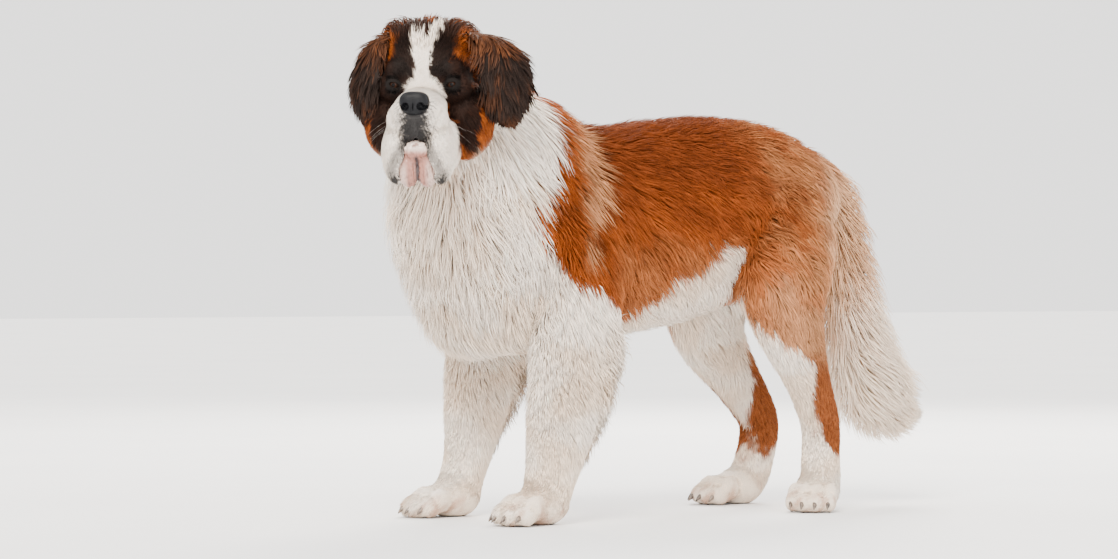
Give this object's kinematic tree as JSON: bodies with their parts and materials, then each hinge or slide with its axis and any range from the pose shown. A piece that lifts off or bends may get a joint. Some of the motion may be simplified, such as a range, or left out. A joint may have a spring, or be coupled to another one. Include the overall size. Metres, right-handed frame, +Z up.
{
  "type": "saint bernard dog model",
  "caption": "Life-size still model of a long-haired Saint Bernard standing square on its paws, head turned to its left and bushy tail hanging down.",
  "frame": {"origin": "on the floor, under the middle of the whole dog's bounding box", "axes": "the dog faces -X, its left side faces -Y, +Z up"},
  "size_m": [1.3394, 0.448, 0.8984],
  "materials": {
    "coat_white": "long soft white coat with warm cream shading",
    "coat_red": "long mahogany and orange coat with darker tips",
    "coat_tan": "long tan coat fading to cream",
    "coat_dark": "soft wavy brown-black hair",
    "nose_leather": "damp pebbled black skin",
    "lip_skin": "moist pink skin with dark blotches",
    "eye_glass": "glossy dark brown"
  },
  "bodies": {
    "root": {"head": "coat_red", "jaw": "lip_skin", "nose": "nose_leather", "eye_left": "eye_glass", "eye_right": "eye_glass", "ear_left": "coat_dark", "ear_right": "coat_dark", "neck": "coat_white", "chest": "coat_white", "barrel": "coat_red", "hindquarters": "coat_tan", "tail_base": "coat_tan", "tail_middle": "coat_white", "tail_tip": "coat_white", "foreleg_left_forearm": "coat_white", "foreleg_left_paw": "coat_white", "foreleg_right_forearm": "coat_white", "foreleg_right_paw": "coat_white", "hindleg_left_thigh": "coat_tan", "hindleg_left_shank": "coat_white", "hindleg_left_foot": "coat_white", "hindleg_right_thigh": "coat_tan", "hindleg_right_shank": "coat_white", "hindleg_right_foot": "coat_white"}
  },
  "joints": []
}
